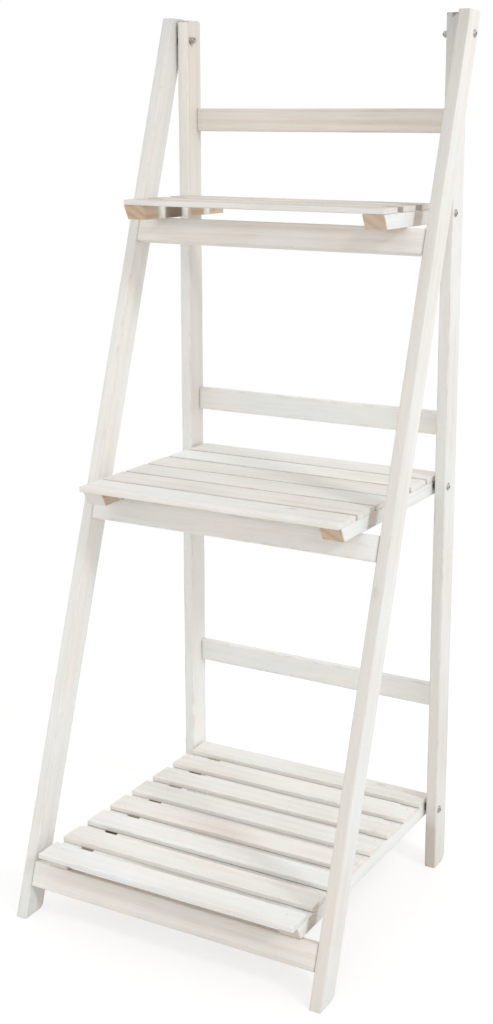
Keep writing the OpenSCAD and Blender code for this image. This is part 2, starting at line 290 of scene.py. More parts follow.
def board(node, body, lie, half_width, half_thickness, start, end, **looks):
    """One board that replaces its solid.

    The surface is a grid. Round it run the points of the section, along it run rows
    from the cut at start(w) to the cut at end(w). Each point's place along the grain
    is start times (1 - v) plus end times v. Both cuts close with rings that shrink
    to a pole, and meet the sides in a quarter round. The point (l, w, t) lies at
    origin + l along + w across + t through. The looks may give the edge radius, the
    steps of the grid, the films called bare and stain, both of which also
    carry painted shade, and the wash's thinness and tint.
    """
    origin, along, across, through = (np.array(axis, float) for axis in lie)
    rng = np.random.default_rng(sum(map(ord, node)))
    middle = np.array([0.0])
    length = float((end(middle) - start(middle))[0])
    shrink, inset, setback, run = rows_along(length, looks.get("row_step", ROW_STEP))

    # The easing of the long edges grows and shrinks a little along the board
    long_wave, short_wave = EASING_WAVES
    drift = np.sin(run * length / long_wave + rng.uniform(0, EASING_SHIFT))
    drift = drift * np.sin(run * length / short_wave)
    radius = looks.get("radius", EDGE_RADIUS) * (EASING_MEAN + EASING_DRIFT * drift)
    wide_steps = looks.get("wide_steps", even_steps(2 * half_width, WIDE_STEP))
    thin_steps = looks.get("thin_steps", even_steps(2 * half_thickness, THIN_STEP))
    w, t, angle, gap = section(
        half_width, half_thickness, radius[:, None], inset[:, None], wide_steps, thin_steps
    )
    sunk = wear(rng, (run * length)[:, None], angle[None, :])
    w = (w - sunk * np.cos(angle)) * shrink[:, None]
    t = (t - sunk * np.sin(angle)) * shrink[:, None]
    first = start(w) + setback[:, None]
    last = end(w) - setback[:, None]
    l = first * (1 - run[:, None]) + last * run[:, None]

    # Poles, the points in space, and the faces between them
    poles = np.array([[start(middle)[0], 0, 0], [end(middle)[0], 0, 0]])
    local = np.vstack([np.column_stack([l.ravel(), w.ravel(), t.ravel()]), poles])
    points = origin + local @ np.array([along, across, through])
    faces = grid_faces(*w.shape, flipped=np.dot(np.cross(across, through), along) < 0)

    # What the finish needs to know of each point
    at = Places(l, w, t, l - start(w), end(w) - l)
    on_side = np.where(shrink < 1, 0.0, 1.0)[:, None]
    thin_first, thin_last = looks.get("thin", rng.uniform(*THIN_RANGE, 2))
    thin = (thin_first + (thin_last - thin_first) * run)[:, None] * np.ones(w.shape)
    home = rng.uniform(HOME_LOW, HOME_HIGH)
    grain = local[:, [1, 2, 0]] * MM + home[[1, 2, 0]]
    marks = {
        "bare": with_poles(looks.get("bare", cut_ends)(at)),
        "edge": with_poles(fade(np.minimum(near_cut(at), gap), 0, EDGE_REACH) * on_side),
        "stain": with_poles(looks.get("stain", graded(0))(at)),
        "tint": np.full(len(points), looks.get("tint", rng.uniform(*TINT_RANGE))),
        "thin": with_poles(thin),
    }
    piece = make_piece(f"{node}_timber", points * MM, faces, marks, grain)
    piece.data.materials.append(WHITE_TIMBER)
    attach(piece, body)
    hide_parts(node)


def new_object(name, data):
    """An object of the scene that holds the data."""
    made = bpy.data.objects.new(name, data)
    bpy.context.scene.collection.objects.link(made)
    return made


def make_piece(name, points, faces, marks, grain):
    """A smooth mesh object at the origin, with one attribute a mark and the grain's vector."""
    mesh = bpy.data.meshes.new(name)
    mesh.from_pydata(points.tolist(), [], faces, shade_flat=False)
    for key, values in marks.items():
        layer = mesh.attributes.new(key, "FLOAT", "POINT")
        layer.data.foreach_set("value", values.astype(np.float32))
    layer = mesh.attributes.new("grain", "FLOAT_VECTOR", "POINT")
    layer.data.foreach_set("vector", grain.astype(np.float32).ravel())
    mesh.validate()
    return new_object(name, mesh)


# ---- Films: how bare or how grey a board is at each of its places ----

# The points of a board: along, across and through it, and from its first and last cut
Places = namedtuple("Places", "l w t from_start from_end")
CUT_BARE = 0.12


def near_cut(at):
    """Distance to the nearer cut."""
    return np.minimum(at.from_start, at.from_end)


def front_depth(at):
    """Distance behind the edge where w is least: the front of an upright or a slat."""
    return at.w - at.w.min()


def bare_cut(distance):
    """Wash sinks into the end grain of a cut and leaves a little of it bare."""
    return CUT_BARE * fade(distance, 0.24, 1.44)


def cut_ends(at):
    """A little bare wood at both cuts."""
    return bare_cut(near_cut(at))


def graded(first, last=None, reach=math.inf, bend=1):
    """A film that changes from a board's first end to its last.

    The change is even, or comes mostly near the last end with a bend above one and near
    the first with one below. The film covers the whole board, or only what lies within
    the reach of the front.
    """
    last = first if last is None else last

    def film(at):
        done = at.from_start / np.maximum(at.from_start + at.from_end, 1)
        return (first + (last - first) * done**bend) * (front_depth(at) < reach)

    return film


def strongest(*films):
    """The strongest of several films at each place."""
    return lambda at: np.maximum.reduce([film(at) for film in films])


# ---- Material nodes ----


def fill(tree, node, sockets):
    """Fills the inputs of a node with values or links."""
    for key, value in sockets.items():
        if isinstance(value, bpy.types.NodeSocket):
            tree.links.new(value, node.inputs[key])
        else:
            node.inputs[key].default_value = value


def place(tree, kind, sockets=None, **settings):
    """Adds a node, sets its properties and fills its inputs."""
    made = tree.nodes.new(kind)
    for key, value in settings.items():
        setattr(made, key, value)
    fill(tree, made, sockets or {})
    return made


def maths(tree, operation, first, second=0.0, clamp=False):
    """The output of a Math node."""
    return place(
        tree, "ShaderNodeMath", {0: first, 1: second}, operation=operation, use_clamp=clamp
    ).outputs[0]


def times(tree, first, *factors):
    """The product of several values."""
    for factor in factors:
        first = maths(tree, "MULTIPLY", first, factor)
    return first


def total(tree, first, *terms):
    """The sum of several values."""
    for term in terms:
        first = maths(tree, "ADD", first, term)
    return first


def scaled(tree, vector, factors):
    """A vector multiplied axis by axis."""
    return place(
        tree, "ShaderNodeVectorMath", {0: vector, 1: factors}, operation="MULTIPLY"
    ).outputs[0]


def noise(tree, vector, scale, detail=2.0, roughness=0.5):
    """The value of a noise texture."""
    sockets = {"Vector": vector, "Scale": scale, "Detail": detail, "Roughness": roughness}
    return place(tree, "ShaderNodeTexNoise", sockets).outputs[0]


def ramped(tree, value, low, high, to_low=0.0, to_high=1.0):
    """A value mapped smoothly from one range to another and held at its ends."""
    sockets = {0: value, 1: low, 2: high, 3: to_low, 4: to_high}
    return place(
        tree, "ShaderNodeMapRange", sockets, interpolation_type="SMOOTHSTEP"
    ).outputs[0]


def blended(tree, factor, first, second):
    """Two colours mixed."""
    return place(
        tree, "ShaderNodeMix", {0: factor, 6: first, 7: second}, data_type="RGBA"
    ).outputs[2]


def colour(red, green, blue):
    """A linear colour with alpha, from red, green and blue as a screen shows them."""
    screen = np.array([red, green, blue]) / 255
    linear = np.where(screen <= 0.04045, screen / 12.92, ((screen + 0.055) / 1.055) ** 2.4)
    return (*linear, 1.0)


def object_place(tree):
    """Object coordinates, in metres."""
    return place(tree, "ShaderNodeTexCoord").outputs["Object"]


def attribute(tree, name, output="Fac"):
    """One output of an attribute of the piece's own points."""
    return place(tree, "ShaderNodeAttribute", attribute_name=name).outputs[output]


def new_group(name, *values):
    """A shader node group that is given a place and perhaps some values."""
    tree = bpy.data.node_groups.new(name, "ShaderNodeTree")
    tree.interface.new_socket(name="Place", in_out="INPUT", socket_type="NodeSocketVector")
    for label in values:
        tree.interface.new_socket(name=label, in_out="INPUT", socket_type="NodeSocketFloat")
    return tree, tree.nodes.new("NodeGroupInput").outputs


def finish_group(tree, results):
    """Makes one output of the group for each result."""
    for label in results:
        tree.interface.new_socket(name=label, in_out="OUTPUT", socket_type="NodeSocketFloat")
    place(tree, "NodeGroupOutput", results)


def use_group(tree, name, sockets):
    """The outputs of a group node with its inputs filled."""
    made = bpy.data.node_groups[name]
    return place(tree, "ShaderNodeGroup", sockets, node_tree=made).outputs


def new_material(name):
    """A material and its tree."""
    made = bpy.data.materials.new(name)
    made.use_nodes = True
    return made, made.node_tree


def finish_material(tree, tone, rough, height, distance, metallic=0.0, sheen=0.5):
    """Fills the Principled shader. The height times the distance, in metres, is its bump."""
    bump = place(tree, "ShaderNodeBump", {"Height": height, "Distance": distance}).outputs[0]
    sockets = {"Base Color": tone, "Roughness": rough, "Normal": bump}
    sockets.update({"Metallic": metallic, "Specular IOR Level": sheen})
    fill(tree, tree.nodes["Principled BSDF"], sockets)


# ---- Timber ----

# The bare pine, from its pale wood to its darkest marks
PINE_PALE = colour(212, 187, 158)
PINE_RINGS = colour(186, 154, 122)
PINE_STREAKS = colour(202, 170, 138)
PINE_KNOTS = colour(150, 108, 78)
KNOT_DEPTH = 0.7
# The wash, and how much of the third tone its streaks take
WASH_COOL = colour(236, 239, 238)
WASH_WARM = colour(243, 240, 236)
WASH_STREAKS = colour(245, 245, 243)
WASH_STREAKING = 0.25
TINT_WEIGHT = 0.5
# The grey of dark joints and stains, and of painted shade
STAIN_AND_SHADE_GREY = colour(92, 80, 74)
# How much of the pine a thin coat opens all over, and in its growth rings and streaks
THIN_OPENS = 0.45
THIN_OPENS_GRAIN = 0.15
# How much any coat leaves open in the rings, the pores and the knots, and at rubbed edges
RINGS_OPEN = 0.01
PORES_OPEN = 0.12
KNOTS_OPEN = 0.16
EDGES_OPEN = 0.35
# How much thinner the coat is in its clouds
CLOUD_THINNING = 0.25
# How rough the wash is, from smooth to streaked, and how much rougher bare wood is
WASH_ROUGHNESS = (0.58, 0.7)
BARE_ROUGHNESS = 0.15
WASH_SHEEN = 0.2
# Heights of the grain as shares of the streaks', and the streaks' own, in metres
PORE_HEIGHT = -0.7
RING_HEIGHT = 0.5
GRAIN_HEIGHT = 0.00016
DOWEL_ROUGHNESS = (0.6, 0.75)
DOWEL_HEIGHT = 0.0001


def timber_grain_group():
    """Growth rings, long streaks, pores and slow drift of sawn pine.

    Place is the point across, through and along the grain, in metres.
    """
    tree, given = new_group("timber grain")

    def stretched(share):
        """The place with its steps along the grain made smaller."""
        return scaled(tree, given["Place"], (1, 1, share))

    wave = {"Vector": stretched(0.08), "Scale": 24.0, "Distortion": 6.0}
    wave.update({"Detail": 2.0, "Detail Scale": 0.6, "Detail Roughness": 0.55})
    rings = place(
        tree, "ShaderNodeTexWave", wave, wave_type="RINGS", rings_direction="Z"
    ).outputs[1]
    streaks = noise(tree, stretched(0.025), 260.0, 3.0, 0.6)
    pores = noise(tree, stretched(0.012), 1500.0, 1.0)
    drift = noise(tree, stretched(0.15), 34.0)
    clouds = noise(tree, stretched(0.5), 13.0)
    knots = place(tree, "ShaderNodeTexVoronoi", {"Vector": stretched(0.5), "Scale": 15.0})
    results = {
        "Rings": ramped(tree, rings, 0.25, 1.0),
        "Streaks": ramped(tree, streaks, 0.3, 0.7),
        "Pores": ramped(tree, pores, 0.58, 0.75),
        "Drift": ramped(tree, drift, 0.3, 0.7),
        "Clouds": ramped(tree, clouds, 0.3, 0.7),
        "Knots": ramped(tree, knots.outputs["Distance"], 0.035, 0.09, 1.0, 0.0),
    }
    finish_group(tree, results)


def edge_wear_group():
    """Rubbed edges: strong at the very edge, broken up along it by noise."""
    tree, given = new_group("edge wear", "Edge", "Amount")
    patches = noise(tree, scaled(tree, given["Place"], (1, 1, 0.3)), 120.0, 4.0, 0.7)
    rubbed = maths(tree, "POWER", given["Edge"], 3.0)
    broken = times(tree, rubbed, ramped(tree, patches, 0.42, 0.7))
    worn = maths(tree, "MULTIPLY", broken, given["Amount"], clamp=True)
    finish_group(tree, {"Wear": worn})


def pine_colour(tree, grain):
    """Bare pine, darker in its rings, streaks and knots."""
    pine = blended(tree, grain["Rings"], PINE_PALE, PINE_RINGS)
    pine = blended(tree, grain["Streaks"], pine, PINE_STREAKS)
    return blended(tree, times(tree, grain["Knots"], KNOT_DEPTH), pine, PINE_KNOTS)


def wash_colour(tree, grain):
    """The wash, warmer or cooler with the board's tint and the slow drift of its grain."""
    tint = times(tree, attribute(tree, "tint"), TINT_WEIGHT)
    warmth = maths(tree, "ADD", tint, grain["Drift"], clamp=True)
    wash = blended(tree, warmth, WASH_COOL, WASH_WARM)
    return blended(tree, times(tree, grain["Streaks"], WASH_STREAKING), wash, WASH_STREAKS)


def open_wood(tree, grain, bare, wear):
    """How much of the pine the wash leaves open: more where the coat is thin.

    The thinness times its weights for the wood and its grain, plus what the rings, pores
    and knots open by themselves, and at least the wear and the bare wood.
    """
    thin = total(tree, attribute(tree, "thin"), times(tree, grain["Clouds"], CLOUD_THINNING))
    in_grain = times(tree, thin, THIN_OPENS_GRAIN)
    opened = total(
        tree,
        times(tree, grain["Rings"], total(tree, in_grain, RINGS_OPEN)),
        times(tree, grain["Streaks"], in_grain),
        times(tree, grain["Pores"], PORES_OPEN),
        times(tree, thin, THIN_OPENS),
        times(tree, grain["Knots"], KNOTS_OPEN),
    )
    opened = maths(tree, "MAXIMUM", opened, wear)
    # The bare wood also carries painted shade: beside the stiles, on shaded slat tops and at the
    # right leg's foot
    return maths(tree, "MAXIMUM", opened, bare, clamp=True)


def white_timber_material():
    """Pine under a thin white wash that lets grain, pores and worn edges show through."""
    made, tree = new_material("white washed pine")
    where = attribute(tree, "grain", "Vector")
    bare = attribute(tree, "bare")
    grain = use_group(tree, "timber grain", {"Place": where})
    edges = {"Place": where, "Edge": attribute(tree, "edge"), "Amount": EDGES_OPEN}
    wear = use_group(tree, "edge wear", edges)["Wear"]

    opened = open_wood(tree, grain, bare, wear)
    finished = blended(tree, opened, wash_colour(tree, grain), pine_colour(tree, grain))
    # Greyed at dark joints and stains, and where shade is painted
    finished = blended(tree, attribute(tree, "stain"), finished, STAIN_AND_SHADE_GREY)
    rough = ramped(tree, grain["Streaks"], 0.0, 1.0, *WASH_ROUGHNESS)
    rough = maths(tree, "ADD", rough, times(tree, bare, BARE_ROUGHNESS), clamp=True)
    ridges = total(tree, times(tree, grain["Rings"], RING_HEIGHT), grain["Streaks"])
    height = total(tree, times(tree, grain["Pores"], PORE_HEIGHT), ridges)
    finish_material(tree, finished, rough, height, GRAIN_HEIGHT, sheen=WASH_SHEEN)
    return made


def dowel_material():
    """Plain beech dowels: straight grain along X, no finish."""
    made, tree = new_material("plain beech dowel")
    turn = {"Vector": object_place(tree), "Rotation": (0, math.pi / 2, 0)}
    turned = place(tree, "ShaderNodeMapping", turn).outputs[0]
    grain = use_group(tree, "timber grain", {"Place": turned})
    beech = blended(tree, grain["Streaks"], colour(222, 190, 150), colour(204, 168, 126))
    beech = blended(tree, grain["Pores"], beech, colour(160, 120, 84))
    rough = ramped(tree, grain["Drift"], 0.0, 1.0, *DOWEL_ROUGHNESS)
    finish_material(tree, beech, rough, grain["Streaks"], DOWEL_HEIGHT)
    return made


# ---- Steel and painted brads ----

# Tones of steel, from light to dark, and its roughness in the light and the dark patches
ZINC_TONES = (colour(218, 216, 212), colour(150, 148, 145))
ZINC_ROUGHNESS = (0.3, 0.48)
SPACER_TONES = (colour(120, 116, 112), colour(86, 82, 80))
SPACER_ROUGHNESS = (0.4, 0.6)
STEEL_SPECKS = colour(74, 66, 60)
# Heights of the fine marks, in metres, and of a thread, in times the marks' height
STEEL_HEIGHT = 0.00003
THREAD_HEIGHT = 4.0
BRAD_TONES = (colour(228, 226, 220), colour(214, 208, 200))
BRAD_SPECKS = colour(130, 122, 114)
BRAD_SPECKLING = 0.6
BRAD_ROUGHNESS = 0.6
BRAD_HEIGHT = 0.00005


def dulled_metal_group():
    """Patches, fine turning marks and specks of plated steel that has gone dull."""
    tree, given = new_group("dulled metal")
    where = given["Place"]
    patches = ramped(tree, noise(tree, where, 420.0, 4.0, 0.6), 0.35, 0.65)
    marks = noise(tree, scaled(tree, where, (4, 1, 1)), 2600.0)
    specks = ramped(tree, noise(tree, where, 3800.0), 0.64, 0.74)
    finish_group(tree, {"Patches": patches, "Marks": marks, "Specks": specks})


def thread_group():
    """Rings of a metric thread along X, on the inner ends of the bolts alone."""
    tree, given = new_group("bolt thread")
    across = place(tree, "ShaderNodeSeparateXYZ", {"Vector": given["Place"]}).outputs["X"]
    wave = maths(tree, "SINE", times(tree, across, 2 * math.pi / (THREAD_PITCH * MM)))
    inner = maths(tree, "LESS_THAN", maths(tree, "ABSOLUTE", across), LEG_INNER * MM)
    finish_group(tree, {"Ridges": times(tree, wave, inner)})


def steel_material(name, tones, roughness, threaded=False):
    """Zinc-plated steel between two tones, with dull patches, specks and perhaps a thread."""
    made, tree = new_material(name)
    worn = use_group(tree, "dulled metal", {"Place": object_place(tree)})
    plated = blended(tree, worn["Patches"], *tones)
    plated = blended(tree, worn["Specks"], plated, STEEL_SPECKS)
    rough = ramped(tree, worn["Patches"], 0.0, 1.0, *roughness)
    height = worn["Marks"]
    if threaded:
        ridges = use_group(tree, "bolt thread", {"Place": object_place(tree)})["Ridges"]
        height = total(tree, height, times(tree, ridges, THREAD_HEIGHT))
    finish_material(tree, plated, rough, height, STEEL_HEIGHT, metallic=1.0)
    return made


def painted_brad_material():
    """Brad heads under the same wash as the slats, a little greyer, with specks of steel."""
    made, tree = new_material("washed-over brad head")
    worn = use_group(tree, "dulled metal", {"Place": object_place(tree)})
    wash = blended(tree, worn["Patches"], *BRAD_TONES)
    wash = blended(tree, times(tree, worn["Specks"], BRAD_SPECKLING), wash, BRAD_SPECKS)
    finish_material(tree, wash, BRAD_ROUGHNESS, worn["Marks"], BRAD_HEIGHT)
    return made


timber_grain_group()
edge_wear_group()
dulled_metal_group()
thread_group()
WHITE_TIMBER = white_timber_material()

# ---- Frames ----

SIDES = ((-1, "left"), (1, "right"))
# Where an upright has points from its front to its rounded back, crowded towards the back
UPRIGHT_STEPS = 1 - (1 - np.arange(1, 16) / 16) ** 2
# The rough sawn top of a leg: depth, length and shift of its waves, and where they fade
SAW_DEPTH = 1.8
SAW_LENGTH = 3.1
SAW_SHIFT = 0.6
SAW_FADE = (16.0, 24.0)
# How deep from its surface the front face of an upright is painted by itself
FRONT_REACH = 1.2
# How far the dark torn fibres, partly painted shade of the rough sawn corner, reach behind the
# front, and how softly they end there
TORN_REACH = 5.0
TORN_FADE = 2.5
# Over how far the painted shade at a foot fades out
FOOT_SHADE_FADE = 20.0
JOINT_GREY = 0.35


def leaning_board(node, body, side, outer, lean, front_y, top, saw_depth=0.0, **looks):
    """A stile or leg: level cuts at floor and top, both back corners rounded.

    Along the grain the cuts lie at d tan(lean) and (top + d sin(lean)) / cos(lean),
    where d is the distance behind the front face. Past the point where each rounding
    starts, they follow its circle instead. A saw depth makes the top wavy near the front.
    """
    sin, cos, tan = math.sin(lean), math.cos(lean), math.tan(lean)

    def rounding(level, radius):
        """Y of a rounding's centre at this level, and its place behind the face and along."""
        y = (STOCK_WIDTH + CORNER_RUNOUT) / cos + level * tan - radius / cos
        return y, y * cos - level * sin, y * sin + level * cos

    foot_y, foot_d, foot_s = rounding(FOOT_RADIUS, FOOT_RADIUS)
    top_y, top_d, top_s = rounding(top - TOP_RADIUS, TOP_RADIUS)

    def start(w):
        d = w + STOCK_WIDTH / 2
        round_part = foot_s - np.sqrt(np.maximum(FOOT_RADIUS**2 - (d - foot_d) ** 2, 0))
        return np.where(d > foot_y * cos, round_part, d * tan)

    def end(w):
        d = w + STOCK_WIDTH / 2
        round_part = top_s + np.sqrt(np.maximum(TOP_RADIUS**2 - (d - top_d) ** 2, 0))
        level_part = (top + d * sin) / cos
        ragged = saw_depth * (1 + np.sin(d / SAW_LENGTH + SAW_SHIFT)) / 2 * fade(d, *SAW_FADE)
        return np.where(d > top_y * cos - top * sin, round_part, level_part) - ragged

    middle_y = front_y + STOCK_WIDTH / 2 * cos - DEPTH / 2
    middle_x = side * (outer - STOCK_THICKNESS / 2)
    origin = (middle_x, middle_y, -STOCK_WIDTH / 2 * sin)
    lie = (origin, (0, sin, cos), (0, cos, -sin), (1, 0, 0))
    half_width, half_thickness = STOCK_WIDTH / 2, STOCK_THICKNESS / 2
    looks["wide_steps"] = UPRIGHT_STEPS
    board(node, body, lie, half_width, half_thickness, start, end, **looks)


def torn_top_shade(depth, fray, strength):
    """Dark torn fibres along the front edge of the sawn top of a leg, deepened by painted shade of
    that rough corner.
    """
    def film(at):
        down = depth + fray * (np.sin(at.t / 1.1) + 0.5 * np.sin(at.w / 0.9 + at.t / 2))
        back = TORN_REACH + 2.5 * fray * np.sin(at.t / 1.4 + 1)
        behind = STOCK_WIDTH / 2 + at.w
        return strength * fade(at.from_end, down - 1, down) * fade(behind, back - TORN_FADE, back)

    return film


def thin_front(first, last):
    """Less wash on the front face of an upright, from its foot to its top, and at its cuts."""
    return strongest(graded(first, last, FRONT_REACH), cut_ends)


def shaded_foot(height, amount):
    """Painted shade on the front face of an upright, as less wash from its foot up to a height."""
    def film(at):
        low = fade(at.from_start, height - FOOT_SHADE_FADE, height)
        return amount * low * (front_depth(at) < FRONT_REACH)

    return film


def behind_front(film):
    """A film everywhere but on the front face of an upright."""
    return lambda at: film(at) * (front_depth(at) >= FRONT_REACH)


def joint_lines(at):
    """A thin dark line where a rail meets an upright."""
    return JOINT_GREY * fade(near_cut(at), 0.4, 1.4)


# How thin the wash is at the two ends of each board: at its foot and its top, or at
# its left and its right
COATS = {
    "stile_left": (0.0, 0.05),
    "stile_right": (-0.05, 0.05),
    "leg_left": (-0.25, 0.1),
    "leg_right": (0.1, -0.15),
    "front_top": (0.15, 0.25),
    "front_middle": (-0.2, -0.1),
    "front_bottom": (0.05, 0.3),
    "rear_top": (0.25, 0.5),
    "rear_middle": (-0.2, -0.1),
    "rear_bottom": (-0.15, -0.1),
}
# How grey each upright is, and the top rail of the rear frame
FILMS = {
    "stile_left": strongest(graded(0.16, 0.0, bend=0.2), graded(0.0, 0.22, bend=4)),
    "stile_right": strongest(graded(0.1, 0.3, FRONT_REACH, bend=6), graded(0.14, 0.0, bend=0.35)),
    "leg_left": strongest(behind_front(graded(0.0, 0.06)), torn_top_shade(1.5, 0.3, 0.7)),
    # The right leg greys towards its foot: painted shade of the bottom shelf
    "leg_right": strongest(
        graded(0.12, 0.0), graded(0.0, 0.38, FRONT_REACH, bend=9), torn_top_shade(2.2, 1.0, 0.85)
    ),
    "rear_top": strongest(graded(0.05), joint_lines),
}
# How bare each upright is: mostly on its front face, and the left leg behind that face
OPENINGS = {
    "stile_left": thin_front(0.0, 0.05),
    "stile_right": thin_front(0.2, 0.15),
    "leg_left": strongest(cut_ends, behind_front(graded(0.0, 0.4, bend=1.5))),
    # Less wash at the front of the right leg's foot: painted shade of the bottom shelf
    "leg_right": strongest(thin_front(0.14, 0.0), shaded_foot(75, 0.4)),
}


def flat_end(place_along):
    """A cut square across the board."""
    return lambda w: np.full_like(w, place_along)


def rail(node, body, lean, base_y, middle_y, middle_z, half_length, height, thickness, **looks):
    """A rail across the stand, its middle at a place measured in its leaning frame."""
    sin, cos = math.sin(lean), math.cos(lean)
    y = base_y + middle_y * cos + middle_z * sin - DEPTH / 2
    z = -middle_y * sin + middle_z * cos
    lie = ((0, y, z), (1, 0, 0), (0, sin, cos), (0, cos, -sin))
    left, right = flat_end(-half_length), flat_end(half_length)
    board(node, body, lie, height / 2, thickness / 2, left, right, **looks)


def upright_looks(name):
    """Coat, grey film and bareness of a stile or a leg."""
    return {"thin": COATS[name], "stain": FILMS[name], "bare": OPENINGS[name]}


def build_front_frame():
    """Two stiles and three rails that lean back."""
    for side, label in SIDES:
        leaning_board(
            f"front_stile_{label}", "front_frame", side, STILE_OUTER, FRONT_LEAN, 0, HEIGHT,
            **upright_looks(f"stile_{label}"),
        )
    for shelf in SHELVES:
        rail(
            f"front_rail_{shelf.name}", "front_frame", FRONT_LEAN, 0,
            FRONT_RAIL_THICKNESS / 2, shelf.rail_top - FRONT_RAIL_HEIGHT / 2,
            STILE_INNER, FRONT_RAIL_HEIGHT, FRONT_RAIL_THICKNESS,
            thin=COATS[f"front_{shelf.name}"], stain=joint_lines,
        )


def build_rear_frame():
    """Two legs and three thinner rails that stand nearly upright."""
    for side, label in SIDES:
        leaning_board(
            f"rear_leg_{label}", "rear_frame", side, LEG_OUTER, -REAR_LEAN, leg_front_y(0), LEG_TOP,
            saw_depth=SAW_DEPTH, **upright_looks(f"leg_{label}"),
        )
    for label, level in REAR_RAIL_LEVELS.items():
        rail(
            f"rear_rail_{label}", "rear_frame", -REAR_LEAN, leg_front_y(0),
            STOCK_WIDTH - REAR_RAIL_THICKNESS / 2, level,
            LEG_INNER, REAR_RAIL_HEIGHT, REAR_RAIL_THICKNESS,
            thin=COATS[f"rear_{label}"], stain=FILMS.get(f"rear_{label}", joint_lines),
        )


# ---- Shelves ----

# How deep a face of a runner or a slat is painted by itself
FACE_DEPTH = 1.0
SKIN = 0.8
# The painted shadow of the stiles on the runners and slat ends: a band behind their front edges,
# and its looks
STILE_SHADOW_FROM = 11.5
STILE_SHADOW_TO = 38.5
SHADOW_STRIP_BARE = 0.5
SHADOW_STRIP_GREY = 0.12
# How bare the hidden faces are, and the inner sides of the runners under the slats
RUNNER_UNDERSIDE_BARE = 0.7
SLAT_UNDERSIDE_BARE = 0.5
INNER_BARE = {"top": 0.85, "middle": 0.85, "bottom": 0.5}
# Painted shade on the inner sides of the runners, under a slat counted from nought at the front
INNER_SHADE = {
    "top": {1: 0.75},
    "middle": {1: 0.6, 4: 0.6},
    "bottom": {1: 0.2, 2: 0.95, 3: 0.15, 4: 0.45, 6: 0.75},
}
# How bare the slanted noses of the left and the right runner are
NOSE_BARE = {"top": (0.9, 0.8), "middle": (0.2, 0.85), "bottom": (0.3, 0.5)}
# Over how far along a slat the painted shade on its front edge fades out
GAP_SHADE_FADE = 6.0
# How high the painted shadow line at a slat's lower front edge is, and how much of that fades
LINE_HEIGHT = 2.0
LINE_FADE = 0.5
# Where the narrow sides of a slat have points, so that the line stays narrow
SLAT_THIN_STEPS = np.array([0.2, 0.5, 0.8])
RUNNER_ROW_STEP = 2.0
RUNNER_COAT = (-0.15, -0.1)
RUNNER_TINT = -0.6


def stile_shadow(y, z):
    """One inside the painted shadow of a stile, a band behind its front edge, nought outside it."""
    behind = y - z * math.tan(FRONT_LEAN)
    return np.clip(np.minimum(behind - STILE_SHADOW_FROM, STILE_SHADOW_TO - behind), 0, 1)


def inner_face(at, side):
    """One on the inner side of a runner, nought a little deeper."""
    return fade(RUNNER_WIDTH / 2 + side * at.t, 0, FACE_DEPTH)


def outer_stile_shadow(shelf, at, side):
    """One in the painted shadow of the stile, on the outer side of a runner."""
    outside = fade(RUNNER_WIDTH / 2 - side * at.t, 0, FACE_DEPTH)
    return outside * stile_shadow(at.l, shelf.runner_top - RUNNER_HEIGHT / 2 + at.w)


def runner_finish(shelf, side, nose):
    """The wash went on with the slats in place: outside, and inside under their gaps.

    Under the slats the inner side stays raw, as does the underside. Below the gaps
    the raw part fades out over a few millimetres of the distance from a slat.
    """
    def film(at):
        into_pitch = (at.l - shelf.front_y) % shelf.pitch
        into_gap = np.minimum(into_pitch - shelf.slat_width, shelf.pitch - into_pitch)
        under_slat = np.maximum(fade(into_gap, -1, 3), 0.1)
        inside = INNER_BARE[shelf.name] * under_slat * inner_face(at, side)
        below = RUNNER_UNDERSIDE_BARE * fade(RUNNER_HEIGHT / 2 + at.w, 0, FACE_DEPTH)
        at_nose = nose * fade(at.from_start, 0.5, 1.5)
        # Painted shadow of the stile on the outer side, as less wash
        shadow_strip = SHADOW_STRIP_BARE * outer_stile_shadow(shelf, at, side)
        return np.maximum.reduce([inside, below, at_nose, bare_cut(at.from_end), shadow_strip])

    return film


def runner_shade(shelf, side):
    """Painted shade on the inner side under some of the slats, and painted shadow of the stile on
    the outer side.
    """
    def film(at):
        number, into_pitch = np.divmod(at.l - shelf.front_y, shelf.pitch)
        under_slat = inner_face(at, side) * (into_pitch < shelf.slat_width)
        inner_shade = sum(much * (number == slat_at) for slat_at, much in INNER_SHADE[shelf.name].items())
        return np.maximum(inner_shade * under_slat, SHADOW_STRIP_GREY * outer_stile_shadow(shelf, at, side))

    return film


def runner(shelf, side, label):
    """A level bar under the slats, its nose slanting back from top to bottom."""
    def nose(w):
        return shelf.nose_y + NOSE_SLANT * (0.5 - w / RUNNER_HEIGHT)

    x = side * (SHELF_END - RUNNER_WIDTH / 2)
    z = shelf.runner_top - RUNNER_HEIGHT / 2
    lie = ((x, -DEPTH / 2, z), (0, 1, 0), (0, 0, 1), (1, 0, 0))
    board(
        f"{shelf.name}_runner_{label}", shelf.body, lie, RUNNER_HEIGHT / 2, RUNNER_WIDTH / 2,
        nose, flat_end(shelf.back_y), radius=RUNNER_EDGE_RADIUS, row_step=RUNNER_ROW_STEP,
        thin=RUNNER_COAT, tint=RUNNER_TINT, stain=runner_shade(shelf, side),
        bare=runner_finish(shelf, side, NOSE_BARE[shelf.name][side > 0]),
    )


def upper_face(at):
    """One on the upper face of a slat, nought a little deeper."""
    return fade(SLAT_THICKNESS / 2 - at.t, 0, SKIN)


def front_edge(at):
    """One on the front edge of a slat, nought a little deeper."""
    return fade(front_depth(at), 0, SKIN)


